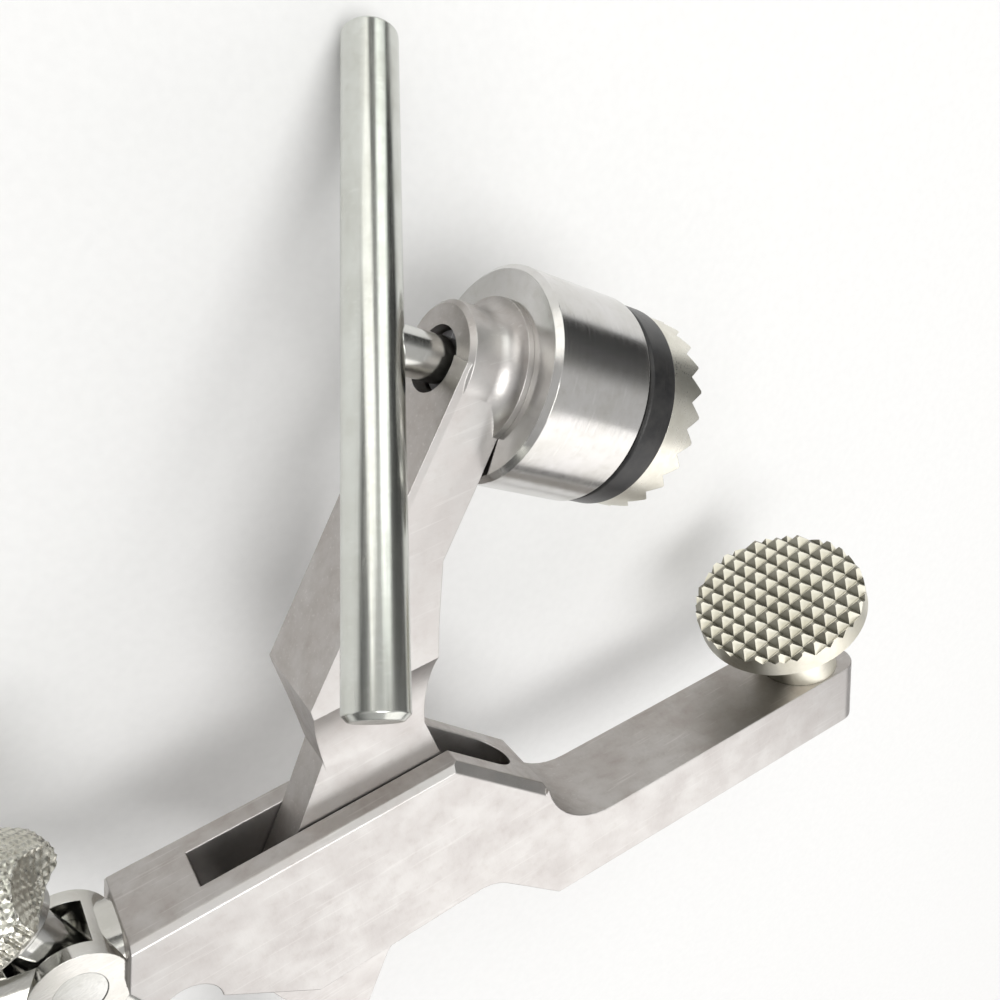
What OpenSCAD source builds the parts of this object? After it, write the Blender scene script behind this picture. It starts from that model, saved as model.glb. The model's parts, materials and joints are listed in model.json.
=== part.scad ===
// Screw-driven bone clamp with plier handles and a quick-lock nut.
// The clamp lies on its flank. The origin is on the pivot axis, in the flank it lies on.
// X runs forward along the frame to the jaw, Y from the jaw up to the drum, Z through the thickness.

/* [Frame] */
// Thickness of the frame and the arm
frame_w = 12; // [11.5:0.1:13]
// Pivot axis to the top edge of the box
box_top = 14; // [13.6:0.1:14.4]
// Pivot axis to the bottom edge of the box
box_bottom = 7.3; // [7:0.1:8]
// Pivot axis to the rear end of the box
box_rear = 33; // [32.5:0.1:33.5]
// Width of the slot the arm swings in
slot_w = 5.6; // [5.5:0.05:5.8]
// Pivot axis to the rear end of the slot
slot_rear = 24.6; // [24.5:0.1:25.2]

/* [Jaw] */
// Pivot axis to the tip of the jaw
jaw_reach = 73; // [72:0.2:76]
// Depth of the jaw bar
jaw_depth = 10.4; // [9.8:0.1:11]
// Downward lean of the jaw bar, in degrees
jaw_droop = 2.3; // [2:0.1:2.6]

/* [Pad] */
// Radius of the serrated pad
pad_r = 12.1; // [11:0.1:12.6]
// Thickness of the pad's rim under the teeth
pad_rim = 2.9; // [2.4:0.1:3.4]
// Distance from one tooth to the next
tooth_pitch = 2.25; // [2.15:0.05:2.45]
// Radius of the post under the pad
post_r = 5.7; // [5:0.1:6.2]
// Lean of the pad towards the arm, in degrees
pad_lean = 15; // [13:0.1:16]

/* [Swinging arm] */
// Depth of the arm, across its length
arm_depth = 6.9; // [6.7:0.1:7.1]
// Slope of the arm above the frame, in degrees
arm_slope = 51; // [50.6:0.1:51.4]
// Radius of the pivot pin
pivot_r = 3; // [2.6:0.1:3.2]

/* [Screw and drum] */
// Downward slope of the screw axis, in degrees
screw_slope = 33.2; // [32.8:0.1:33.6]
// Outer radius of the drum
drum_r = 11.7; // [11.4:0.1:12]
// Length of the drum
drum_l = 12.9; // [12.7:0.1:13.3]
// Radius of the T-bar
bar_r = 3.1; // [3:0.05:3.3]
// Length of the T-bar
bar_l = 72; // [60:1:72]
// Turn of the T-bar out of the plane of the clamp, in degrees
bar_turn = 37; // [20:0.2:45]
// Number of teeth on the crown
crown_teeth = 24; // [16:1:28]

/* [Handles and lock] */
// Depth of the handles, in the plane of the clamp
handle_depth = 8.6; // [8.2:0.1:9]
// Thickness of the handles, across the clamp
handle_w = 9.6; // [9.4:0.1:10]
// Length of the straight grip on each handle
grip_l = 72; // [60:1:90]
// Radius of the lock rod
rod_r = 1.75; // [1.6:0.05:1.8]
// Largest radius of the knurled nut
nut_r = 7.8; // [7.4:0.1:8.2]

/* [Hidden] */
$fn = 64;
mid = frame_w / 2;                         // mid-plane of the clamp
cut = 0.05;                                // overshoot of a cutting solid
fit = 0.05;                                // radial clearance of a running fit
deep = 40;                                 // a cut that runs past every wall
arc_steps = 10;

arm_out = [cos(arm_slope), sin(arm_slope)];
arm_in = [sin(arm_slope), -cos(arm_slope)];
arm_base = [-6.25, 34];                    // a point on the arm's outer edge
arm_top_l = 35.3;                          // from there to the top of the arm
shoulder = [-8.5, 31.3];                   // where the outer edge turns down into the tang
sweep_r = 18;                              // radius of the sweep that thins the arm to the tang
sweep_y = 19.6;
tang_w = slot_w - 0.4;                     // thickness of the tang in the slot
lobe_r = 7.6;                              // eye of the tang round the pivot pin
tang_r = 23.4;                             // the tang's rear edge swings inside this radius
pin_l = frame_w - 2;                       // the pin is blind, short of the upper flank
pin_recess = 0.25;                         // the pin's end stays below the lower flank

ramp_foot = [16.65, 2.9];                  // where the ramp ends, above the jaw root
ramp_head_x = 6;                           // where the ramp leaves the top of the box
jaw_root = [16, -6.47];                    // where the top line of the jaw starts
root_r = 9.5;                              // fillet between the ramp and the jaw
root_end_x = 26.3;
throat_r = 5.5;                            // fillet under the box, behind the jaw
throat_x = 4.6;
rear_heel = [-box_rear - 2, 8.4];          // where the rear end leans furthest back
rear_foot = [-box_rear - 0.4, 4.6];
relief_top = [-27.6, 1.2];                 // where the underside relief meets the rear wall
relief_foot_x = -17.4;
relief_r = 3.6;
slot_front = 14.6;                         // front end of the slot in the ramp
slot_floor = -4;                           // depth of the slot's front pocket
top_chamfer = 0.75;
ramp_chamfer = 1.1;
tip_r = 3.2;                               // rounding of the jaw's tip, seen from above

pad_at = [61.7, 6.6];                      // centre of the pad's face, at the tips of its teeth
pad_foot_k = (pad_at[1] - jaw_y(pad_at[0])) / (cos(pad_lean) - tan(jaw_droop) * sin(pad_lean));
pad_foot = pad_at + pad_foot_k * [sin(pad_lean), -cos(pad_lean)];
tooth_h = 1.05;
pad_screw_r = 1.5;
spigot_r = 3;
spigot_l = -jaw_depth + 2.4;               // foot of the pad's spigot, below the top of the jaw

drum_at = [20.7, 56.75];                   // centre of the drum's rear face
drum_wall = 1.6;
drum_floor = 2;
drum_chamfer = 0.6;
boss_r = 6.3;
boss_rear = -6.3;                          // rear face of the boss, along the screw axis
flare_foot_r = 8;                          // foot of the boss on the drum
foot_t = 0.6;                              // thickness of the foot
flare_r = 2.4;                             // fillet between boss and foot
drum_screw_r = 0.8;
drum_screw_at = 5.1;                       // from the screw axis to each drum screw
well_r = 3.6;                              // recess in the rear of the boss
well_depth = 2.4;
spindle_r = 2.5;
ring_t = 0.8;                              // thickness of the snap ring on the spindle
ring_at = boss_rear + 1.2;
bush_r = 3.2;
thread_r = 2.95;
thrust_r = 3.6;                            // collar of the spindle, and its thrust washer
bar_at = -13.7;                            // T-bar's axis, along the screw axis
piston_rear = 4.5;
nose_r = 7;
ring_l = 3.8;                              // length of the black ring
crown_l = 2.8;                             // length of the crown behind its teeth
crown_tooth_h = 1.4;
ring_rear = drum_l + 0.2;
crown_rear = ring_rear + ring_l;
nose_front = crown_rear + crown_l;
spindle_tip = 16;
key_r = 1;
key_at = 10.4;                             // key pin, along the screw axis
key_turn = 330;                            // key pin, round the screw axis
piston_travel = 5;                         // how far the piston comes out

handle_corner = 3.4;                       // rounding of the handle's section
handle_start = [-box_rear, 9.1];           // centre line of the upper handle at the box
handle_dir = 165;                          // heading of the upper handle's root
low_start = [-10.6, -9.5];                 // a point on the lower handle's centre line
low_dir = 236.7;                           // heading of the lower handle's root
root_l = 20;                               // straight root before each bend
bend_r = 60;
bend_turn = 16;
thick_from = 12.5;                         // where the lower handle begins, down its centre line
tongue_l = 5;                              // tongue of the tang, let into the lower handle
tongue_w = 4.4;
tongue_t = 3.2;

seat_at = handle_start + 6.2 * [cos(handle_dir), sin(handle_dir)];
lock_radius = norm(seat_at);
low_along = low_start * [cos(low_dir), sin(low_dir)];
pin_along = -low_along + sqrt(low_along * low_along - low_start * low_start + lock_radius * lock_radius);
rod_pin_at = low_start + pin_along * [cos(low_dir), sin(low_dir)];
rod_dir = atan2(seat_at[1] - rod_pin_at[1], seat_at[0] - rod_pin_at[0]);
rod_span = norm(seat_at - rod_pin_at);
seat_r = 2.7;                              // trunnion of the swivel seat
collar_r = 5.2;                            // swell of the upper handle round the trunnion
seat_tube_r = 2.8;
seat_h = 9.8;                              // bearing face of the seat above its axis
seat_plate_r = 4.3;
seat_slot_w = 6.2;
rod_bore_r = rod_r + 0.07;
nut_h = 12;
rod_l = rod_span + seat_h + nut_h - 1.6;   // the rod ends just inside the top of the nut
rod_eye_r = 3.7;
rod_eye_w = 4;
rod_pin_r = 1.5;
seat_swing = [0, -6, -12, -18];            // the seat's turn, for the sweep of its slot

steel = [0.72, 0.71, 0.69];
bright = [0.82, 0.82, 0.8];
dark = [0.13, 0.13, 0.14];
bronze = [0.7, 0.55, 0.3];

// Height of the jaw's top line at x.
function jaw_y(x) = jaw_root[1] - tan(jaw_droop) * (x - jaw_root[0]);

// Points along an arc, from one angle to the other.
function arc_points(centre, r, from, to) =
    [for (i = [0:arc_steps]) let (a = from + (to - from) * i / arc_steps) centre + r * [cos(a), sin(a)]];

// Places its children with their +Z along the screw axis, from the drum's rear face.
module on_screw_axis() {
    translate([drum_at[0], drum_at[1], mid]) rotate([0, 0, -screw_slope]) rotate([0, 90, 0]) children();
}

// Places its children with their +Z along the lock rod, from the point given, turned by the swing.
module on_rod_axis(from, swing = 0) {
    translate([from[0], from[1], mid]) rotate([0, 0, rod_dir + swing]) rotate([0, 90, 0]) children();
}

// A ring, or with no bore a disc, from z0 to z1.
module tube(r, bore, z0, z1) {
    translate([0, 0, z0]) difference() {
        cylinder(r = r, h = z1 - z0);
        if (bore > 0) translate([0, 0, -cut]) cylinder(r = bore, h = z1 - z0 + 2 * cut);
    }
}

// A disc with a chamfered edge at one end or both.
module chamfered(r, z0, z1, c0, c1) {
    rotate_extrude() polygon([[0, z0], [r - c0, z0], [r, z0 + c0], [r, z1 - c1], [r - c1, z1], [0, z1]]);
}

// Extrudes a flat outline through the clamp, centred on its mid-plane.
module plate(thickness) {
    translate([0, 0, mid - thickness / 2]) linear_extrude(thickness) children();
}

// ---- frame ----

module frame_outline() {
    difference() {
        polygon(concat(
            [[-box_rear, box_top], [ramp_head_x, box_top], ramp_foot],
            arc_points([root_end_x, jaw_y(root_end_x) + root_r], root_r, 184, 270 - jaw_droop),
            [[jaw_reach, jaw_y(jaw_reach)], [jaw_reach, jaw_y(jaw_reach) - jaw_depth],
             [15.7, jaw_y(15.7) - jaw_depth + 0.4]],
            arc_points([throat_x, -box_bottom - throat_r], throat_r, 44, 90),
            [[relief_foot_x, -box_bottom], relief_top, [-29, 4], rear_foot, rear_heel]
        ));
        translate([relief_top[0] - relief_r + 0.6, relief_top[1]]) circle(r = relief_r);
    }
}

// The slot seen from above: a straight run with a round front end.
module slot_cutter() {
    module run(x0, x1, y0) {
        translate([x0, y0, mid - slot_w / 2]) cube([x1 - x0, deep, slot_w]);
    }
    run(-slot_rear, slot_front - slot_w - 2.4, -deep / 2);
    run(0, slot_front - slot_w / 2, slot_floor);
    translate([slot_front - slot_w / 2, slot_floor, mid])
        rotate([-90, 0, 0]) cylinder(r = slot_w / 2, h = deep);
}

// Chamfers one edge of the outline by the size c, on both flanks.
module both_flanks_chamfer(from, to, c) {
    run = to - from;
    side = c * sqrt(2);
    for (z = [0, frame_w])
        translate([from[0], from[1], z]) rotate([0, 0, atan2(run[1], run[0])])
            translate([-0.5, 0, 0]) rotate([45, 0, 0])
                translate([0, -side / 2, -side / 2]) cube([norm(run) + 1, side, side]);
}

// What is cut off the jaw's tip to round its corner at the flank z.
module jaw_tip_corner(z) {
    side = z > mid ? 1 : -1;
    translate([jaw_reach - tip_r, 0, z - side * tip_r]) rotate([90, 0, 0])
        translate([0, 0, -deep / 2]) linear_extrude(deep) difference() {
            translate([0, side > 0 ? 0 : -tip_r - cut]) square([tip_r + cut, tip_r + cut]);
            circle(r = tip_r);
        }
}

// Places its children with +Z along the pad's axis, from the tips of its teeth.
module pad_axis() {
    translate([pad_at[0], pad_at[1], mid]) rotate([0, 0, pad_lean]) rotate([-90, 0, 0]) children();
}

// Places its children with +Z square to the top of the jaw, at the foot of the pad's post.
module on_jaw_top() {
    translate([pad_foot[0], pad_foot[1], mid]) rotate([0, 0, -jaw_droop]) rotate([-90, 0, 0]) children();
}

module frame() {
    color(steel) difference() {
        plate(frame_w) frame_outline();
        slot_cutter();
        both_flanks_chamfer([-box_rear, box_top], [ramp_head_x, box_top], top_chamfer);
        both_flanks_chamfer([ramp_head_x, box_top], ramp_foot, ramp_chamfer);
        for (z = [0, frame_w]) jaw_tip_corner(z);
        translate([0, 0, -cut]) cylinder(r = pivot_r, h = pin_l + cut);
        on_jaw_top() {
            translate([0, 0, -deep / 2]) cylinder(r = spigot_r + 0.02, h = deep);
            translate([0, 0, -jaw_depth - cut]) cylinder(r = spigot_r + 0.7, h = 2 + cut);
        }
    }
}

// ---- handles ----

// The handle's section: a square with round corners, centred on the path.
module handle_section() {
    dx = handle_depth / 2 - handle_corner;
    dy = handle_w / 2 - handle_corner;
    square([2 * dx, handle_w], center = true);
    square([handle_depth, 2 * dy], center = true);
    for (x = [-dx, dx], y = [-dy, dy]) translate([x, y]) circle(r = handle_corner, $fn = 32);
}

// A straight run of the handle, from the present point along +X.
module handle_run(l) {
    rotate([0, 90, 0]) rotate([0, 0, 90]) linear_extrude(l) handle_section();
}

// A bend by the turn given, to the left, or to the right where side is -1.
module handle_bend(turn, side) {
    mirror([0, side > 0 ? 0 : 1, 0]) translate([0, bend_r, 0]) rotate([0, 0, -90])
        rotate_extrude(angle = turn, $fn = 180) translate([bend_r, 0]) handle_section();
}

// The rounded end of the handle.
module handle_end() {
    rotate_extrude($fn = 48) intersection() {
        handle_section();
        translate([0, -deep / 2]) square([deep, deep]);
    }
}

// Root, bend and grip in turn, from the present point along +X.
module handle_path(side) {
    handle_run(root_l);
    translate([root_l, 0, 0]) {
        handle_bend(bend_turn, side);
        translate([bend_r * sin(bend_turn), side * bend_r * (1 - cos(bend_turn)), 0])
            rotate([0, 0, side * bend_turn]) {
                handle_run(grip_l);
                translate([grip_l, 0, 0]) handle_end();
            }
    }
}

module upper_handle() {
    lead = 1;                              // run of the handle inside the box, cut away by it
    color(bright) difference() {
        union() {
            translate([handle_start[0], handle_start[1], mid]) rotate([0, 0, handle_dir]) {
                handle_path(1);
                translate([-lead, 0, 0]) handle_run(lead);
            }
            translate([seat_at[0], seat_at[1], mid - handle_w / 2]) cylinder(r = collar_r, h = handle_w);
        }
        plate(frame_w + 1) frame_outline();
        translate([seat_at[0], seat_at[1], -cut]) cylinder(r = seat_r + fit, h = frame_w + 2 * cut);
        translate([seat_at[0], seat_at[1], mid - seat_tube_r - 0.25]) linear_extrude(2 * seat_tube_r + 0.5)
            for (swing = seat_swing)
                rotate([0, 0, rod_dir + swing]) square([deep, seat_slot_w], center = true);
    }
}

module lower_handle() {
    color(bright) difference() {
        translate([low_start[0], low_start[1], mid]) rotate([0, 0, low_dir])
            translate([thick_from, 0, 0]) handle_path(-1);
        rod_pocket();
        translate([rod_pin_at[0], rod_pin_at[1], -cut]) cylinder(r = rod_pin_r, h = frame_w + 2 * cut);
        tang_socket();
    }
}

// The room the rod's eye and shank need in the lower handle, over the whole swing.
module rod_pocket() {
    translate([rod_pin_at[0], rod_pin_at[1], mid - rod_eye_w / 2 - 0.2])
        linear_extrude(rod_eye_w + 0.4) union() {
            circle(r = rod_eye_r + 0.4);
            for (turn = [-2, 6, 12, 18])
                rotate([0, 0, rod_dir + turn]) translate([0, -rod_r - 0.8])
                    square([deep / 2, 2 * rod_r + 1.6]);
        }
}

// The mortise for the tang's tongue.
module tang_socket() {
    translate([low_start[0], low_start[1], mid]) rotate([0, 0, low_dir])
        translate([thick_from - cut, -tongue_w / 2, -tongue_t / 2])
            cube([tongue_l + cut, tongue_w, tongue_t]);
}

// ---- swinging arm ----

module arm_outline() {
    polygon([
        shoulder, arm_base + arm_top_l * arm_out,
        arm_base + arm_top_l * arm_out + arm_depth * arm_in,
        [14.6, 48.2], [9.2, 41.4], [7.2, 34], [4.6, 22], [4.2, sweep_y], [-8.2, sweep_y]
    ]);
}

// The tang: up into the arm, round the pivot's eye, and a rear edge that swings inside the slot.
module tang_outline() {
    circle(r = lobe_r);
    polygon(concat(
        [[-7, 25], [-8.2, 21.4], [-13.1, box_top], [-21.9, 2]],
        [for (turn = [178:5:213]) tang_r * [cos(turn), sin(turn)]],
        [low_edge(8, -1), low_edge(thick_from, -1), low_edge(thick_from, 1), low_edge(1, 1),
         [-2, -6.6], [4, 0], [7.2, 2], [4.1, 19.9], [5.4, 25]]
    ));
}

// A point on one edge of the lower handle's root, the distance l down its centre line.
function low_edge(l, side) = low_start + l * [cos(low_dir), sin(low_dir)]
    + side * (handle_depth / 2 - 0.5) * [-sin(low_dir), cos(low_dir)];

// The two round cuts, one in each flank, that thin the arm down to the tang.
module shoulder_sweep() {
    for (side = [-1, 1])
        translate([-deep, sweep_y, mid + side * (tang_w / 2 + sweep_r)]) rotate([0, 90, 0])
            cylinder(r = sweep_r, h = 2 * deep, $fn = 128);
}

module boss() {
    on_screw_axis() {
        chamfered(boss_r, boss_rear, -foot_t, 0.5, 0);
        rotate_extrude() difference() {
            translate([0, -foot_t - flare_r]) square([flare_foot_r, foot_t + flare_r]);
            translate([boss_r + flare_r, -foot_t - flare_r]) circle(r = flare_r);
        }
    }
}

module swinging_arm() {
    color(steel) difference() {
        union() {
            difference() {
                plate(frame_w) arm_outline();
                shoulder_sweep();
            }
            plate(tang_w) tang_outline();
            boss();
            translate([low_start[0], low_start[1], mid]) rotate([0, 0, low_dir])
                translate([thick_from - 1, -tongue_w / 2, -tongue_t / 2]) cube([tongue_l + 0.8, tongue_w, tongue_t]);
        }
        translate([0, 0, -cut]) cylinder(r = pivot_r + fit, h = frame_w + 2 * cut);
        on_screw_axis() {
            translate([0, 0, boss_rear - 8]) cylinder(r = bush_r, h = 20);
            translate([0, 0, boss_rear - 8]) cylinder(r = well_r, h = 8 + well_depth);
            translate([-deep / 2, -deep / 2, 0]) cube([deep, deep, deep / 2]);
            drum_screw_places() translate([0, 0, -2.6]) cylinder(r = drum_screw_r, h = 4);
        }
    }
}

// ---- screw and drum ----

module drum_screw_places() {
    for (i = [0:2]) rotate([0, 0, 60 + 120 * i]) translate([drum_screw_at, 0, 0]) children();
}

module boss_bush() {
    color(bronze) on_screw_axis() tube(bush_r, spindle_r + fit, boss_rear + well_depth, -0.02);
}

module drum_housing() {
    color(bright) on_screw_axis() difference() {
        chamfered(drum_r, 0, drum_l, drum_chamfer, 0.5);
        translate([0, 0, -cut]) cylinder(r = spindle_r + fit, h = deep);
        translate([0, 0, drum_floor]) cylinder(r = drum_r - drum_wall, h = deep);
        drum_screw_places() {
            translate([0, 0, -cut]) cylinder(r = drum_screw_r, h = deep / 4);
            translate([0, 0, 0.8]) cylinder(r = 2 * drum_screw_r - 0.15, h = deep / 4);
        }
        rotate([0, 0, key_turn]) translate([0, 0, key_at]) rotate([0, 90, 0]) cylinder(r = key_r, h = deep);
    }
}

module drum_screws() {
    color(bright) on_screw_axis() drum_screw_places() difference() {
        union() {
            translate([0, 0, -2.5]) cylinder(r = drum_screw_r, h = 3.4);
            translate([0, 0, 0.85]) cylinder(r = 2 * drum_screw_r - 0.2, h = 1.05);
        }
        translate([-deep / 8, -0.2, 1.4]) cube([deep / 4, 0.4, 2]);
    }
}

module drum_key() {
    key_out = drum_r - 0.15;
    key_in = drum_r - drum_wall - 1.2;
    color(steel) on_screw_axis() rotate([0, 0, key_turn]) translate([key_in, 0, key_at])
        rotate([0, 90, 0]) cylinder(r = key_r, h = key_out - key_in);
}

module spindle() {
    color(bright) on_screw_axis() difference() {
        union() {
            tube(spindle_r, 0, bar_at, 3);
            tube(thrust_r, 0, drum_floor + 0.65, drum_floor + 1.9);
            tube(thread_r, 0, drum_floor + 1.5, spindle_tip - 0.6);
            chamfered(thread_r, spindle_tip - 1, spindle_tip, 0, 0.6);
        }
        tube(spindle_r + 1, spindle_r - 0.35, ring_at, ring_at + ring_t + 0.06);
        bar_axis() translate([0, 0, -deep / 2]) cylinder(r = bar_r, h = deep);
    }
}

// Places its children with +Z along the T-bar, from the screw axis.
module bar_axis() {
    translate([0, 0, bar_at]) rotate([0, 0, -bar_turn]) rotate([-90, 0, 0]) children();
}

// A plain round bar, brazed across the hollowed end of the spindle.
module t_bar() {
    end_chamfer = 0.6;
    color(bright) on_screw_axis() bar_axis() translate([0, 0, -bar_l / 2])
        chamfered(bar_r, 0, bar_l, end_chamfer, end_chamfer);
}

// An open snap ring in the spindle's groove, in the well at the rear of the boss.
module spindle_ring() {
    color(dark) on_screw_axis() difference() {
        tube(well_r - 0.3, spindle_r - 0.33, ring_at + 0.03, ring_at + 0.03 + ring_t);
        translate([-deep / 2, -0.8, boss_rear]) cube([deep / 2, 1.6, 4]);
    }
}

module thrust_washer() {
    color(bronze) on_screw_axis() tube(thrust_r, spindle_r + 0.1, drum_floor + 0.02, drum_floor + 0.62);
}

module piston() {
    color(steel) on_screw_axis() difference() {
        union() {
            tube(drum_r - drum_wall - fit, 0, piston_rear, drum_l - 0.1);
            tube(nose_r, 0, drum_l - 1, nose_front);
        }
        translate([0, 0, piston_rear - cut]) cylinder(r = thread_r + fit, h = nose_front - piston_rear - 1.2);
        rotate([0, 0, key_turn]) translate([drum_r - drum_wall - 1.35, -key_r - 0.05, key_at - key_r - piston_travel - 0.2])
            cube([deep / 4, 2 * key_r + 0.1, piston_travel + 2 * key_r + 0.4]);
    }
}

module black_ring() {
    color(dark) on_screw_axis() difference() {
        chamfered(drum_r - 0.3, ring_rear, ring_rear + ring_l, 0.3, 0.3);
        translate([0, 0, ring_rear - cut]) cylinder(r = nose_r + 0.01, h = ring_l + 2 * cut);
    }
}

module toothed_crown() {
    outer = drum_r - 0.6;
    root = 1.9;
    color(steel) on_screw_axis() difference() {
        tube(outer, nose_r + 0.01, crown_rear, nose_front + crown_tooth_h);
        translate([0, 0, nose_front - 0.3]) cylinder(r = outer - root, h = deep);
        for (i = [0:crown_teeth - 1]) rotate([0, 0, (i + 0.5) * 360 / crown_teeth])
            translate([outer - root - 1, 0, nose_front]) rotate([90, 0, 90])
                linear_extrude(root + 2) tooth_gap(PI * outer / crown_teeth);
    }
}

// The gap between two teeth, a V as wide as the pitch.
module tooth_gap(half) {
    polygon([[0, 0], [half * 0.94, crown_tooth_h + cut], [-half * 0.94, crown_tooth_h + cut]]);
}

// ---- pad ----

module pad_disc() {
    lines = ceil(pad_r / tooth_pitch) + 1;
    color(steel) difference() {
        union() {
            pad_axis() {
                chamfered(pad_r, -tooth_h - pad_rim, 0, 0.5, 0.15);
                translate([0, 0, -pad_foot_k - 4]) cylinder(r = post_r, h = pad_foot_k + 4 - tooth_h - pad_rim / 2);
            }
            on_jaw_top() translate([0, 0, spigot_l]) cylinder(r = spigot_r, h = -spigot_l + 1);
        }
        on_jaw_top() difference() {
            translate([-deep / 2, -deep / 2, -deep]) cube([deep, deep, deep]);
            translate([0, 0, spigot_l]) cylinder(r = spigot_r, h = deep);
        }
        on_jaw_top() translate([0, 0, -deep]) cylinder(r = pad_screw_r, h = deep - 1.5);
        for (turn = [0, 90]) pad_axis() rotate([0, 0, turn]) for (i = [-lines:lines])
            translate([i * tooth_pitch, 0, 0]) rotate([90, 0, 0]) translate([0, 0, -deep / 2])
                linear_extrude(deep)
                    polygon([[0, -tooth_h], [tooth_pitch * 0.42, cut], [-tooth_pitch * 0.42, cut]]);
    }
}

// Holds the pad from under the jaw.
module pad_screw() {
    color(bright) on_jaw_top() difference() {
        union() {
            translate([0, 0, -jaw_depth + 1]) cylinder(r = pad_screw_r, h = jaw_depth - 4);
            translate([0, 0, -jaw_depth + 0.2]) cylinder(r = spigot_r + 0.6, h = 1.75);
        }
        translate([0, 0, -jaw_depth - 2.7]) cylinder(r = 1.3, h = 4, $fn = 6);
    }
}

// ---- pivot and lock ----

module pivot_pin() {
    color(bright) chamfered(pivot_r, pin_recess, pin_l - 0.1, 0.2, 0.3);
}

module lock_rod() {
    color(bright) difference() {
        union() {
            translate([rod_pin_at[0], rod_pin_at[1], mid - rod_eye_w / 2]) cylinder(r = rod_eye_r, h = rod_eye_w);
            on_rod_axis(rod_pin_at) tube(rod_r, 0, 1, rod_l - 1.2);
        }
        translate([rod_pin_at[0], rod_pin_at[1], 0]) cylinder(r = rod_pin_r + fit, h = frame_w);
    }
}

// The stop riveted on the end of the rod, so that the nut cannot come off.
module rod_stop() {
    color(bright) on_rod_axis(rod_pin_at) chamfered(rod_r + 0.35, rod_l - 1.2, rod_l, 0, 0.4);
}

module rod_pin() {
    color(bright) translate([rod_pin_at[0], rod_pin_at[1], mid - handle_w / 2 + 0.1])
        cylinder(r = rod_pin_r, h = handle_w - 0.2);
}

module swivel_seat() {
    color(steel) difference() {
        union() {
            translate([seat_at[0], seat_at[1], mid - handle_w / 2 + 0.1]) cylinder(r = seat_r, h = handle_w - 0.2);
            on_rod_axis(seat_at) {
                tube(seat_tube_r, 0, 0, seat_h - 1);
                chamfered(seat_plate_r, seat_h - 1.2, seat_h, 0.3, 0);
            }
        }
        on_rod_axis(seat_at) translate([0, 0, -deep / 2]) cylinder(r = rod_bore_r, h = deep);
    }
}

// The nut: a hub, a knurled skirt with three scallops, and a smaller flat top.
module knurled_nut() {
    ridges = 40;
    hub_r = 4.6;
    top_r = 5;
    skirt_0 = 1.6;
    skirt_1 = 4.2;
    scallop_r = 9.4;
    scallop_at = 15.2;                     // axis of each scallop, from the axis of the nut
    scallop_h = 3;                         // the round end of a scallop starts here
    color(bright) on_rod_axis(seat_at) translate([0, 0, seat_h]) difference() {
        rotate_extrude()
            polygon([[0, 0.02], [hub_r - 0.3, 0.02], [hub_r, 0.3], [hub_r, skirt_0], [nut_r - 0.6, skirt_0],
                     [nut_r, skirt_0 + 0.6], [nut_r, skirt_1], [top_r + 0.7, 8.2], [top_r + 0.7, nut_h - 0.5],
                     [top_r + 0.2, nut_h], [0, nut_h]]);
        translate([0, 0, -cut]) cylinder(r = rod_bore_r, h = deep);
        translate([0, 0, nut_h - 2.9]) cylinder(r = rod_r + 0.6, h = deep);
        for (i = [0:2]) rotate([0, 0, 120 * i]) translate([scallop_at, 0, -1]) {
            cylinder(r = scallop_r, h = scallop_h + 1);
            translate([0, 0, scallop_h + 1]) sphere(r = scallop_r);
        }
        for (i = [0:ridges - 1]) rotate([0, 0, (i + 0.5) * 360 / ridges])
            translate([nut_r + 0.12, 0, skirt_0 - cut])
                rotate([0, 0, 45]) cube([0.5, 0.5, 2 * (skirt_1 - skirt_0) + 1]);
    }
}

frame();
upper_handle();
pivot_pin();
swinging_arm();
lower_handle();
pad_disc();
pad_screw();
boss_bush();
drum_housing();
drum_screws();
drum_key();
spindle();
t_bar();
spindle_ring();
thrust_washer();
piston();
black_ring();
toothed_crown();
lock_rod();
rod_stop();
rod_pin();
swivel_seat();
knurled_nut();
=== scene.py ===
import json
import math

import bmesh
import bpy
from mathutils import Matrix, Vector


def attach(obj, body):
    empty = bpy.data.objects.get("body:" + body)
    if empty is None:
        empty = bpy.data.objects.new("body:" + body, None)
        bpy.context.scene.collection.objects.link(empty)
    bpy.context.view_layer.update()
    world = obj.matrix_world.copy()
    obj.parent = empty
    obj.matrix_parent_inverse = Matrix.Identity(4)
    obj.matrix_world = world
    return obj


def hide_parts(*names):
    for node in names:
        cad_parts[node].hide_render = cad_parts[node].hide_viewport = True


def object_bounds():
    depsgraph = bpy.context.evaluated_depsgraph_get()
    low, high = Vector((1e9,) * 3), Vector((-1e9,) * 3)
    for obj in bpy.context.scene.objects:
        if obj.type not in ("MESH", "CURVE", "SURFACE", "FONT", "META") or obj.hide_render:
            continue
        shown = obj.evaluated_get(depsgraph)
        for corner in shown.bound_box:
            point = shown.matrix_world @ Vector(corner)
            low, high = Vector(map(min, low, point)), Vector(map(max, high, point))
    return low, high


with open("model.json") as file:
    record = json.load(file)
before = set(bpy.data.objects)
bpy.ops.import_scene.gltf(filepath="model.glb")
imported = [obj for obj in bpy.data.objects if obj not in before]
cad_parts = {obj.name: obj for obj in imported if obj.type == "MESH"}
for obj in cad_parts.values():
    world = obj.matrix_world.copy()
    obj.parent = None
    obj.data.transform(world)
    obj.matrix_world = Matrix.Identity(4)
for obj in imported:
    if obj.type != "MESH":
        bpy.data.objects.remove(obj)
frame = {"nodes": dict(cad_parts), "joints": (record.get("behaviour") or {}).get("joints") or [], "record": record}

MM = 0.001

cad_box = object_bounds()
nodes = frame["nodes"]
joints = {joint["name"]: joint for joint in frame["joints"]}
mounts = {mount["name"]: mount for mount in frame["record"]["mounts"]}
body_of_node = {
    node: body
    for body, members in frame["record"]["behaviour"]["bodies"].items()
    for node in members
}


# ---- places that the CAD gives ----

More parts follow.
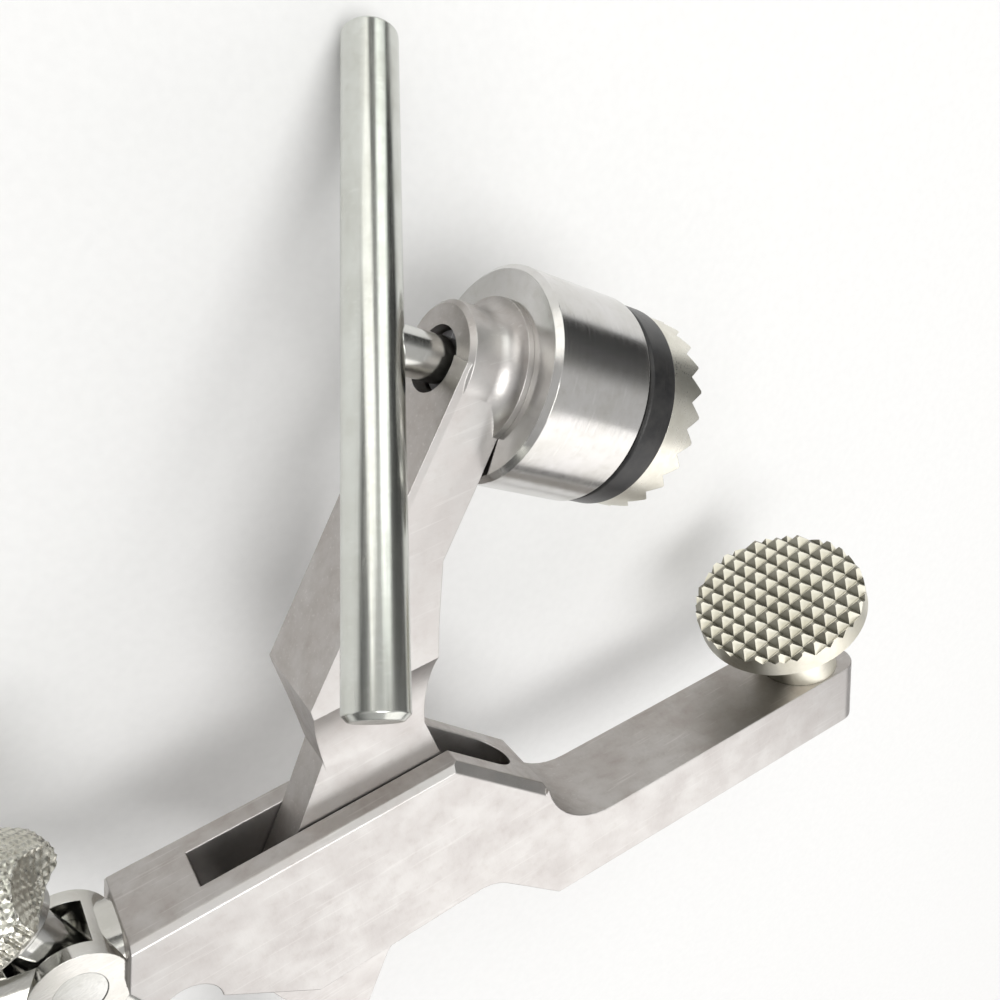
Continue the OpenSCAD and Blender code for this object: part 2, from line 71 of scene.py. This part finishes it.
def place_along(origin, axis):
    """A matrix whose Z runs along axis, from origin."""
    turn = Vector(axis).normalized().to_track_quat("Z", "Y").to_matrix().to_4x4()
    return Matrix.Translation(Vector(origin)) @ turn


SCREW = place_along(joints["screw_turn"]["pos_m"], joints["screw_turn"]["axis"])
ROD = place_along(joints["nut_spin"]["pos_m"], joints["nut_spin"]["axis"])
BAR = place_along(mounts["t_bar_end"]["pos_m"], mounts["t_bar_end"]["axis"])
ROW = Matrix.Identity(4)


# ---- material nodes ----

# How closely the rounded normal follows the true one, away from an edge and on it.
EDGE_NONE = 0.995
EDGE_FULL = 0.9
# Share of the sky that a point sees, in the open and in a hollow, which sets where shade is painted into hollows.
HOLLOW_NONE = 0.75
HOLLOW_FULL = 0.2
# Repeats per millimetre of the clouds, the blots and the scratches on steel.
CLOUD_SCALE = 0.22
BLOT_SCALE = 0.9
SCRATCH_SCALE = 3.2
SCRATCH_STRETCH = 0.035
SCRATCH_TURN = 9
WORN_TONE = (0.92, 0.92, 0.9)
# A pale tone that edges take as a painted highlight.
EDGE_HIGHLIGHT_TONE = (0.95, 0.94, 0.92)
BLOT_TONE = (0.86, 0.84, 0.82)


def colour(value):
    return (*value, 1.0) if isinstance(value, tuple) and len(value) == 3 else value


class Graph:
    """The node tree of one material, with short calls for the nodes it needs."""

    def __init__(self, name):
        self.material = bpy.data.materials.new(name)
        self.material.use_nodes = True
        self.tree = self.material.node_tree
        self.tree.nodes.clear()
        self.shader = self.node("ShaderNodeBsdfPrincipled")
        output = self.node("ShaderNodeOutputMaterial")
        self.link(self.shader.outputs["BSDF"], output.inputs["Surface"])

    def node(self, kind, **settings):
        made = self.tree.nodes.new(kind)
        for key, value in settings.items():
            setattr(made, key, value)
        return made

    def link(self, source, target):
        if isinstance(source, (int, float, tuple)):
            target.default_value = source
        else:
            self.tree.links.new(source, target)

    def math(self, operation, a, b=0.0, clamp=False):
        made = self.node("ShaderNodeMath", operation=operation, use_clamp=clamp)
        self.link(a, made.inputs[0])
        self.link(b, made.inputs[1])
        return made.outputs[0]

    def vector_math(self, operation, a, b=(0.0, 0.0, 0.0)):
        made = self.node("ShaderNodeVectorMath", operation=operation)
        self.link(a, made.inputs[0])
        self.link(b, made.inputs[1])
        return made.outputs["Value" if operation == "DOT_PRODUCT" else "Vector"]

    def mix(self, share, a, b, blend="MIX"):
        made = self.node("ShaderNodeMix", data_type="RGBA", blend_type=blend)
        self.link(share, made.inputs[0])
        self.link(colour(a), made.inputs[6])
        self.link(colour(b), made.inputs[7])
        return made.outputs[2]

    def span(self, value, low, high, to_low=0.0, to_high=1.0):
        """value's run from low to high, as a run from to_low to to_high, held at its ends."""
        made = self.node("ShaderNodeMapRange")
        self.link(value, made.inputs["Value"])
        made.inputs["From Min"].default_value = low
        made.inputs["From Max"].default_value = high
        made.inputs["To Min"].default_value = to_low
        made.inputs["To Max"].default_value = to_high
        return made.outputs["Result"]

    def place(self):
        """The point's place in millimetres, in the piece's own frame."""
        coordinates = self.node("ShaderNodeTexCoord").outputs["Object"]
        return self.vector_math("MULTIPLY", coordinates, (1 / MM,) * 3)

    def stretched(self, point, scale, turn=(0.0, 0.0, 0.0)):
        made = self.node("ShaderNodeMapping")
        self.link(point, made.inputs["Vector"])
        made.inputs["Rotation"].default_value = [math.radians(angle) for angle in turn]
        made.inputs["Scale"].default_value = scale
        return made.outputs["Vector"]

    def noise(self, point, scale=1.0, detail=2.0, rough=0.5):
        made = self.node("ShaderNodeTexNoise")
        self.link(point, made.inputs["Vector"])
        made.inputs["Scale"].default_value = scale
        made.inputs["Detail"].default_value = detail
        made.inputs["Roughness"].default_value = rough
        return made.outputs["Fac"]

    def round_place(self, point):
        """The point as (distance from the piece's Z axis, height, angle), in millimetres and radians."""
        parts = self.node("ShaderNodeSeparateXYZ")
        self.link(point, parts.inputs[0])
        x, y, z = parts.outputs
        x_squared = self.math("MULTIPLY", x, x)
        y_squared = self.math("MULTIPLY", y, y)
        radius = self.math("SQRT", self.math("ADD", x_squared, y_squared))
        joined = self.node("ShaderNodeCombineXYZ")
        self.link(radius, joined.inputs[0])
        self.link(z, joined.inputs[1])
        self.link(self.math("ARCTAN2", y, x), joined.inputs[2])
        return joined.outputs[0]

    def bump(self, height, depth_mm, normal=None):
        made = self.node("ShaderNodeBump")
        made.inputs["Strength"].default_value = 1.0
        made.inputs["Distance"].default_value = depth_mm * MM
        self.link(height, made.inputs["Height"])
        if normal is not None:
            self.link(normal, made.inputs["Normal"])
        return made.outputs["Normal"]

    def edges(self, radius_mm):
        """(the normal rounded over the edges, how near an edge the point is, from 0 to 1)."""
        made = self.node("ShaderNodeBevel", samples=4)
        made.inputs["Radius"].default_value = radius_mm * MM
        true_normal = self.node("ShaderNodeNewGeometry").outputs["Normal"]
        facing = self.vector_math("DOT_PRODUCT", made.outputs["Normal"], true_normal)
        return made.outputs["Normal"], self.span(facing, EDGE_NONE, EDGE_FULL)

    def crevice(self, reach_mm):
        """How deep in a hollow the point is, from 0 to 1."""
        made = self.node("ShaderNodeAmbientOcclusion", samples=6)
        made.inputs["Distance"].default_value = reach_mm * MM
        return self.span(made.outputs["AO"], HOLLOW_NONE, HOLLOW_FULL)


def steel(name, base, tint, rough, grain=(0.06, 1.0, 1.0), turn=(0.0, 0.0, 0.0), grain_mm=0.12,
          grain_depth=0.0015, scratch=0.25, round_marks=False, edge_mm=0.12, edge_highlight=0.25,
          crevice_mm=0.0, crevice_shade_tone=(0.1, 0.09, 0.08), side=None):
    """Steel with a grain, fine scratches, cloudy colour and brighter edges.

    Faces that look along an axis of the piece keep base, tint and rough where side is given.
    side is (that axis, base, tint, rough), and the last three are for all the other faces.
    The two sets of colours are painted light and shade, and the brighter edges are a painted highlight.
    Where crevice_mm is given, painted shade darkens the hollows.
    """
    g = Graph(name)
    point = g.place()
    marks = g.round_place(point) if round_marks else point
    along = g.stretched(marks, grain, turn)
    fine = g.noise(along, 1 / grain_mm, 3.0, 0.6)
    clouds = g.noise(point, CLOUD_SCALE, 4.0, 0.62)
    blots = g.noise(point, BLOT_SCALE, 3.0, 0.6)
    scratch_turn = [turn[0], turn[1], turn[2] + SCRATCH_TURN]
    scratch_run = g.stretched(marks, [SCRATCH_STRETCH, 1.0, 1.0], scratch_turn)
    scratches = g.span(g.noise(scratch_run, SCRATCH_SCALE, 1.0, 0.4), 0.66, 0.72)
    cloud_share = g.span(clouds, 0.36, 0.64)
    body = g.mix(cloud_share, base, tint)
    gloss = g.span(clouds, 0.3, 0.7, rough * 0.88, rough * 1.14)
    # Painted light and shade: with side given, faces are coloured by which way they look, as lit and shaded copies
    # of one steel.
    if side is not None:
        axis, side_base, side_tint, side_rough = side
        geometry = g.node("ShaderNodeNewGeometry").outputs["Normal"]
        local = g.node("ShaderNodeVectorTransform", vector_type="NORMAL", convert_from="WORLD",
                       convert_to="OBJECT")
        g.link(geometry, local.inputs[0])
        facing = g.math("ABSOLUTE", g.vector_math("DOT_PRODUCT", local.outputs[0], axis))
        share = g.span(facing, 0.7, 0.45)
        body = g.mix(share, body, g.mix(cloud_share, side_base, side_tint))
        side_gloss = g.span(blots, 0.3, 0.7, side_rough * 0.85, side_rough * 1.15)
        gloss = g.math("ADD", g.math("MULTIPLY", gloss, g.math("SUBTRACT", 1.0, share)),
                       g.math("MULTIPLY", side_gloss, share))
    blotted = g.mix(1.0, body, BLOT_TONE, "MULTIPLY")
    body = g.mix(g.span(blots, 0.52, 0.75, 0.0, 0.35), body, blotted)
    body = g.mix(g.math("MULTIPLY", scratches, scratch), body, WORN_TONE)
    rounded, edge = g.edges(edge_mm)
    # Painted highlight: edges are lightened towards a pale tone.
    body = g.mix(g.math("MULTIPLY", edge, edge_highlight), body, EDGE_HIGHLIGHT_TONE)
    # Painted shade: hollows are darkened, a little unevenly, towards a dark tone.
    if crevice_mm:
        hollow_shade = g.math("MULTIPLY", g.crevice(crevice_mm), g.span(blots, 0.3, 0.7, 0.6, 1.0))
        body = g.mix(hollow_shade, body, crevice_shade_tone)
    gloss = g.math("ADD", gloss, g.span(fine, 0.3, 0.7, -0.05, 0.05))
    gloss = g.math("SUBTRACT", gloss, g.math("MULTIPLY", edge, 0.06), clamp=True)
    g.link(body, g.shader.inputs["Base Color"])
    g.link(gloss, g.shader.inputs["Roughness"])
    g.shader.inputs["Metallic"].default_value = 1.0
    height = g.math("SUBTRACT", fine, g.math("MULTIPLY", scratches, scratch * 2))
    g.link(g.bump(height, grain_depth, rounded), g.shader.inputs["Normal"])
    return g.material


def polymer(name, base, worn, rough):
    """Black polymer with a faint turned grain and pale rubbed edges."""
    g = Graph(name)
    point = g.place()
    fine = g.noise(g.stretched(g.round_place(point), [3.0, 3.0, 0.4]), 6.0, 3.0, 0.6)
    clouds = g.noise(point, 0.6, 4.0, 0.6)
    rounded, edge = g.edges(0.25)
    body = g.mix(g.span(clouds, 0.35, 0.7), base, worn)
    body = g.mix(g.math("MULTIPLY", edge, 0.5), body, worn)
    g.link(body, g.shader.inputs["Base Color"])
    g.link(g.span(fine, 0.3, 0.7, rough * 0.8, rough * 1.2), g.shader.inputs["Roughness"])
    g.link(g.bump(fine, 0.01, rounded), g.shader.inputs["Normal"])
    return g.material


SATIN_WARM = (0.585, 0.56, 0.545)
SATIN_COOL = (0.62, 0.605, 0.59)
# Darker copies of the satin colour: painted shade on the narrow faces of the frame and the arm.
NARROW_FACE_SHADE_WARM = (0.40, 0.37, 0.35)
NARROW_FACE_SHADE_COOL = (0.47, 0.45, 0.435)

ACROSS = (0.0, 0.0, 1.0)     # through the clamp, or along a turned piece

MATERIALS = {
    "frame_satin": steel("frame_satin", SATIN_COOL, SATIN_WARM, 0.42, grain=(1.0, 0.08, 1.0),
                         turn=(0, 0, 30), side=(ACROSS, NARROW_FACE_SHADE_COOL, NARROW_FACE_SHADE_WARM, 0.42), scratch=0.12),
    "arm_satin": steel("arm_satin", SATIN_COOL, SATIN_WARM, 0.38, grain=(0.07, 1.0, 1.0), turn=(0, 0, -51),
                       side=(ACROSS, NARROW_FACE_SHADE_COOL, NARROW_FACE_SHADE_WARM, 0.36), scratch=0.12),
    "polished": steel("polished", (0.64, 0.63, 0.60), (0.58, 0.57, 0.53), 0.14, scratch=0.15),
    "polished_round": steel("polished_round", (0.64, 0.64, 0.62), (0.58, 0.58, 0.55), 0.17,
                            grain=(1.0, 1.0, 0.2), round_marks=True, scratch=0.1),
    "bar": steel("bar", (0.64, 0.655, 0.62), (0.58, 0.59, 0.55), 0.21, grain=(1.0, 0.02, 3.1),
                 round_marks=True, grain_mm=0.25, grain_depth=0.004, scratch=0.12),
    "drum": steel("drum", (0.66, 0.65, 0.64), (0.60, 0.59, 0.565), 0.19, grain=(1.0, 1.0, 0.15),
                  round_marks=True, scratch=0.12),
    # Painted light and shade: the pad's tooth facets that face through the clamp are painted pale, the others
    # dark, and painted shade darkens the grooves.
    "pad": steel("pad", (0.95, 0.92, 0.82), (0.86, 0.83, 0.72), 0.52, crevice_mm=0.4, edge_mm=0.05,
                 scratch=0.0, crevice_shade_tone=(0.07, 0.07, 0.05),
                 side=(ACROSS, (0.36, 0.35, 0.30), (0.27, 0.26, 0.215), 0.40)),
    # Painted shade darkens the hollows between the crown's teeth.
    "crown": steel("crown", (0.80, 0.78, 0.70), (0.68, 0.66, 0.58), 0.32, crevice_mm=0.8, edge_mm=0.08,
                   crevice_shade_tone=(0.06, 0.06, 0.05)),
    # Painted shade and highlight: the nut's top is painted dark, its knurled sides pale, its rims get a strong
    # painted edge highlight, and painted shade darkens the grooves.
    "nut": steel("nut", (0.36, 0.355, 0.32), (0.30, 0.295, 0.265), 0.36, crevice_mm=0.5, edge_mm=0.1,
                 edge_highlight=0.5, side=(ACROSS, (0.76, 0.75, 0.67), (0.60, 0.585, 0.51), 0.30)),
    "spring": steel("spring", (0.20, 0.20, 0.21), (0.14, 0.14, 0.15), 0.40),
    "bronze": steel("bronze", (0.70, 0.52, 0.27), (0.60, 0.43, 0.20), 0.30, round_marks=True),
    "polymer": polymer("polymer", (0.012, 0.012, 0.013), (0.030, 0.029, 0.028), 0.34),
}


# ---- pieces made from the CAD's solids ----

MERGE_DISTANCE = 0.002 * MM
FLAT_ANGLE = math.radians(0.6)
SHARP_ANGLE = math.radians(30)

KNURL_PITCH = 1.15 * MM
KNURL_DEPTH = 0.22 * MM
KNURL_EDGE = 0.32 * MM       # the longest edge left in the mesh that takes the knurl
KNURL_ROUNDS = 6             # times that the mesh may be cut finer
KNURL_FROM = 5.0 * MM        # nearer than this to the axis the nut stays smooth
KNURL_RADIUS = 7.0 * MM      # where the grooves are KNURL_PITCH apart round the nut
KNURL_STEEP = 0.65           # the knurl is whole where the normal's Z is below this
KNURL_FLAT = 0.8             # and gone where it is above this


def to_whole(value):
    """Distance to the nearest whole number."""
    return abs(value - round(value))


def knurl(solid):
    """Presses crossed grooves into the sides of a piece that is round about its Z axis."""
    bmesh.ops.triangulate(solid, faces=solid.faces)
    for _ in range(KNURL_ROUNDS):
        long_edges = [edge for edge in solid.edges if edge.calc_length() > KNURL_EDGE
                      and min(vertex.co.xy.length for vertex in edge.verts) > KNURL_FROM]
        if not long_edges:
            break
        bmesh.ops.subdivide_edges(solid, edges=long_edges, cuts=1)
        bmesh.ops.triangulate(solid, faces=solid.faces)
    solid.normal_update()
    grooves_round = round(math.tau * KNURL_RADIUS / KNURL_PITCH)
    moves = []
    for vertex in solid.verts:
        flatness = abs(vertex.normal.z)
        share = min(1.0, max(0.0, (KNURL_FLAT - flatness) / (KNURL_FLAT - KNURL_STEEP)))
        if vertex.co.xy.length > KNURL_FROM and share > 0:
            around = math.atan2(vertex.co.y, vertex.co.x) * grooves_round / math.tau
            up = vertex.co.z / KNURL_PITCH
            groove = 1 - 2 * min(to_whole(around + up), to_whole(around - up))
            moves.append((vertex, vertex.normal * (-KNURL_DEPTH * share * groove)))
    for vertex, move in moves:
        vertex.co += move


# What is cut into a piece's own mesh, finer than the CAD carries.
CARVED = {"knurled_nut": knurl}


def refined(node, place, material, bevel_mm):
    """A clean copy of a CAD node in its own frame, with rounded edges where bevel_mm is given."""
    data = nodes[node].data.copy()
    data.transform(place.inverted())
    # The imported normals no longer fit once the mesh is cleaned.
    imported_normals = data.attributes.get("custom_normal")
    if imported_normals:
        data.attributes.remove(imported_normals)
    solid = bmesh.new()
    solid.from_mesh(data)
    bmesh.ops.remove_doubles(solid, verts=solid.verts, dist=MERGE_DISTANCE)
    bmesh.ops.dissolve_limit(solid, angle_limit=FLAT_ANGLE, verts=solid.verts, edges=solid.edges)
    if node in CARVED:
        CARVED[node](solid)
    solid.to_mesh(data)
    solid.free()
    data.materials.clear()
    data.materials.append(MATERIALS[material])
    piece = bpy.data.objects.new(f"{node}_piece", data)
    bpy.context.scene.collection.objects.link(piece)
    piece.matrix_world = place
    data.polygons.foreach_set("use_smooth", [True] * len(data.polygons))
    data.set_sharp_from_angle(angle=SHARP_ANGLE)
    if bevel_mm:
        bevel = piece.modifiers.new("edges", "BEVEL")
        bevel.width = bevel_mm * MM
        bevel.segments = 2
        bevel.limit_method = "ANGLE"
        bevel.angle_limit = SHARP_ANGLE
        bevel.harden_normals = True
    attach(piece, body_of_node[node])
    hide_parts(node)


# node: (the frame its mesh is kept in, material, bevel in millimetres)
PIECES = {
    "frame": (ROW, "frame_satin", 0.15),
    "upper_handle": (ROW, "polished", 0.2),
    "pivot_pin": (ROW, "polished", 0.0),
    "swinging_arm": (ROW, "arm_satin", 0.15),
    "lower_handle": (ROW, "polished", 0.2),
    "pad_disc": (ROW, "pad", 0.0),
    "pad_screw": (ROW, "polished", 0.0),
    "boss_bush": (SCREW, "bronze", 0.0),
    "drum_housing": (SCREW, "drum", 0.12),
    "drum_screws": (SCREW, "polished_round", 0.0),
    "drum_key": (SCREW, "polished_round", 0.0),
    "spindle": (SCREW, "polished_round", 0.08),
    "t_bar": (BAR, "bar", 0.12),
    "spindle_ring": (SCREW, "spring", 0.0),
    "thrust_washer": (SCREW, "bronze", 0.0),
    "piston": (SCREW, "polished_round", 0.0),
    "black_ring": (SCREW, "polymer", 0.12),
    "toothed_crown": (SCREW, "crown", 0.0),
    "lock_rod": (ROD, "polished_round", 0.08),
    "rod_stop": (ROD, "polished_round", 0.0),
    "rod_pin": (ROW, "polished", 0.1),
    "swivel_seat": (ROD, "polished_round", 0.1),
    "knurled_nut": (ROD, "nut", 0.0),
}
for node_name, (node_place, node_material, node_bevel) in PIECES.items():
    refined(node_name, node_place, node_material, node_bevel)


# ---- floor, light and camera ----

FLOOR_HALF = 3.0
FLOOR_TONE = (0.86, 0.86, 0.86)
FLOOR_PALE = (0.88, 0.88, 0.88)
CAMERA_AT = Vector((-24.4, 100.0, 93.5)) * MM
CAMERA_RIGHT = Vector((0.840, -0.146, 0.523))
CAMERA_UP = Vector((0.380, 0.846, -0.374))
FOCAL_PIXELS = 1022
IMAGE_PIXELS = 1000
SENSOR_MM = 36
NEAREST = 0.005
FARTHEST = 20.0
SKY_TONE = (1.0, 0.995, 0.985, 1.0)
SKY_LOW = 0.12
SKY_HIGH = 0.62
DARK_TOWARDS = (0.93, 0.25, 0.28)
DARK_SHARE = 0.25
LIGHT_TARGET = Vector((0.02, 0.03, 0.0))
LIGHT_DISTANCE = 0.9
# name, direction from the clamp, width and height in metres, radiance, tone
SOFTBOXES = [
    ("overhead", (-0.10, 0.10, 1.0), (0.55, 0.55), 4.3, (1.0, 0.995, 0.98)),
    ("back_left", (-0.13, 0.96, 0.26), (0.42, 0.6), 1.5, (1.0, 0.99, 0.95)),
    ("back_right", (0.55, 0.69, 0.42), (0.50, 0.6), 1.5, (0.97, 1.0, 0.96)),
    ("side", (0.22, -0.80, 0.50), (0.75, 0.75), 1.15, (1.0, 0.975, 0.96)),
]


def floor():
    height = cad_box[0].z
    data = bpy.data.meshes.new("floor")
    corners = [(x * FLOOR_HALF, y * FLOOR_HALF, height) for x, y in ((-1, -1), (1, -1), (1, 1), (-1, 1))]
    data.from_pydata(corners, [], [(0, 1, 2, 3)])
    g = Graph("floor_paint")
    speckle = g.noise(g.place(), 0.8, 3.0, 0.5)
    paint = g.mix(g.span(speckle, 0.3, 0.7), FLOOR_TONE, FLOOR_PALE)
    g.link(paint, g.shader.inputs["Base Color"])
    g.shader.inputs["Roughness"].default_value = 0.7
    g.shader.inputs["Specular IOR Level"].default_value = 0.2
    data.materials.append(g.material)
    made = bpy.data.objects.new("floor", data)
    bpy.context.scene.collection.objects.link(made)


def softbox(name, direction, size, radiance, tone):
    """A rectangular light that looks at the clamp from the direction given."""
    data = bpy.data.lights.new(name, "AREA")
    data.shape = "RECTANGLE"
    data.size, data.size_y = size
    data.energy = radiance * math.pi * size[0] * size[1]
    data.color = tone
    made = bpy.data.objects.new(name, data)
    bpy.context.scene.collection.objects.link(made)
    towards = Vector(direction).normalized()
    made.location = LIGHT_TARGET + towards * LIGHT_DISTANCE
    made.rotation_euler = towards.to_track_quat("Z", "Y").to_euler()


def sky(low, high, dark_towards, dark_share):
    """A plain grey studio: dark near the horizon, pale overhead, with one darker corner."""
    world = bpy.data.worlds.new("sky")
    world.use_nodes = True
    bpy.context.scene.world = world
    tree = world.node_tree
    direction = tree.nodes.new("ShaderNodeTexCoord").outputs["Generated"]
    parts = tree.nodes.new("ShaderNodeSeparateXYZ")
    tree.links.new(direction, parts.inputs[0])
    height = tree.nodes.new("ShaderNodeMapRange")
    height.interpolation_type = "SMOOTHSTEP"
    height.inputs["From Min"].default_value = 0.02
    height.inputs["From Max"].default_value = 0.75
    height.inputs["To Min"].default_value = low
    height.inputs["To Max"].default_value = high
    tree.links.new(parts.outputs["Z"], height.inputs["Value"])
    towards = tree.nodes.new("ShaderNodeVectorMath")
    towards.operation = "DOT_PRODUCT"
    towards.inputs[1].default_value = Vector(dark_towards).normalized()
    tree.links.new(direction, towards.inputs[0])
    corner = tree.nodes.new("ShaderNodeMapRange")
    corner.interpolation_type = "SMOOTHSTEP"
    corner.inputs["From Min"].default_value = 0.85
    corner.inputs["From Max"].default_value = 0.98
    corner.inputs["To Min"].default_value = 1.0
    corner.inputs["To Max"].default_value = dark_share
    tree.links.new(towards.outputs["Value"], corner.inputs["Value"])
    strength = tree.nodes.new("ShaderNodeMath")
    strength.operation = "MULTIPLY"
    tree.links.new(height.outputs["Result"], strength.inputs[0])
    tree.links.new(corner.outputs["Result"], strength.inputs[1])
    background = tree.nodes["Background"]
    background.inputs["Color"].default_value = SKY_TONE
    tree.links.new(strength.outputs[0], background.inputs["Strength"])


def camera():
    data = bpy.data.cameras.new("camera")
    data.sensor_width = SENSOR_MM
    data.lens = SENSOR_MM * FOCAL_PIXELS / IMAGE_PIXELS
    data.clip_start = NEAREST
    data.clip_end = FARTHEST
    right = CAMERA_RIGHT.normalized()
    back = right.cross(CAMERA_UP).normalized()
    up = back.cross(right)
    made = bpy.data.objects.new("camera", data)
    bpy.context.scene.collection.objects.link(made)
    made.matrix_world = Matrix.Translation(CAMERA_AT) @ Matrix((right, up, back)).transposed().to_4x4()
    bpy.context.scene.camera = made


floor()
sky(SKY_LOW, SKY_HIGH, DARK_TOWARDS, DARK_SHARE)
for box in SOFTBOXES:
    softbox(*box)
camera()
bpy.context.scene.view_settings.view_transform = "Standard"
